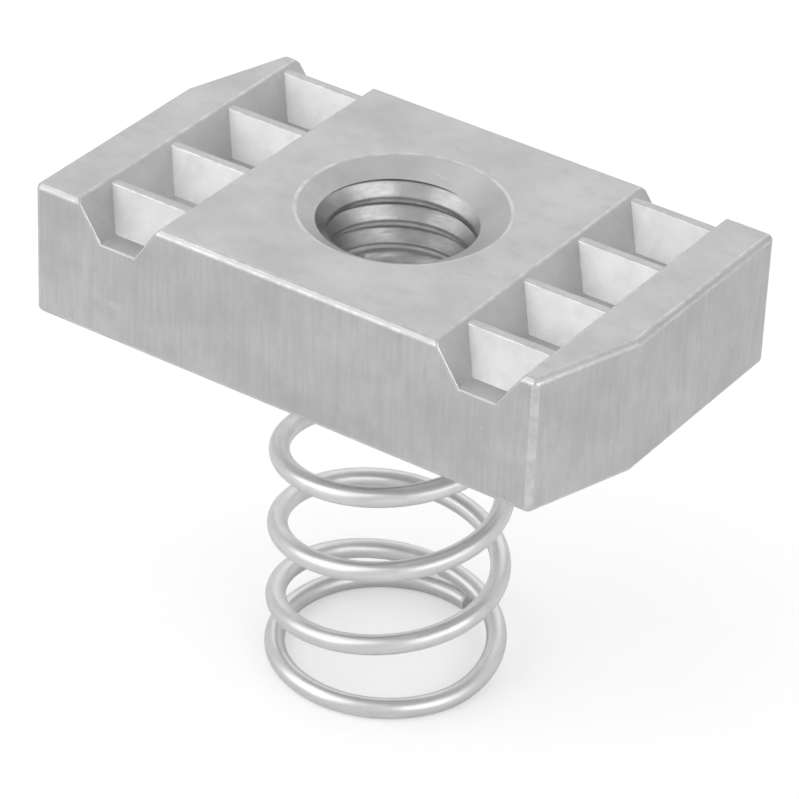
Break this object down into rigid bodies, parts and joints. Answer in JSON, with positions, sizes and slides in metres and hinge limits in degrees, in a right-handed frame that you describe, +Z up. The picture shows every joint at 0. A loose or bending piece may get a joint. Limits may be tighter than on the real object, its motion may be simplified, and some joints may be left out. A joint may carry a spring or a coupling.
{
  "type": "strut channel spring nut",
  "caption": "Toothed rectangular strut channel nut with a tapped bore, two grooves for the channel lips and a coil spring staked underneath.",
  "frame": {"origin": "on the bore axis, at the lowest point of the spring's foot, where the part stands", "axes": "+Z up the bore and out of the toothed face; +X along the nut's long side; +Y along the toothed grooves"},
  "size_m": [0.035, 0.0206, 0.0299],
  "materials": {
    "plated_nut_steel": "satin zinc plating",
    "spring_wire": "bright zinc plated wire"
  },
  "bodies": {
    "spring_foot": {"coil_spring": "spring_wire"},
    "nut": {"nut_body": "plated_nut_steel"}
  },
  "joints": [
    {"name": "spring_squeeze", "type": "slide", "parent": "spring_foot", "child": "nut", "axis": [0, 0, -1], "range_m": [0, 0.015], "stiffness_N_per_m": 2200, "springref_m": -0.0003, "deforming": ["coil_spring"]}
  ]
}
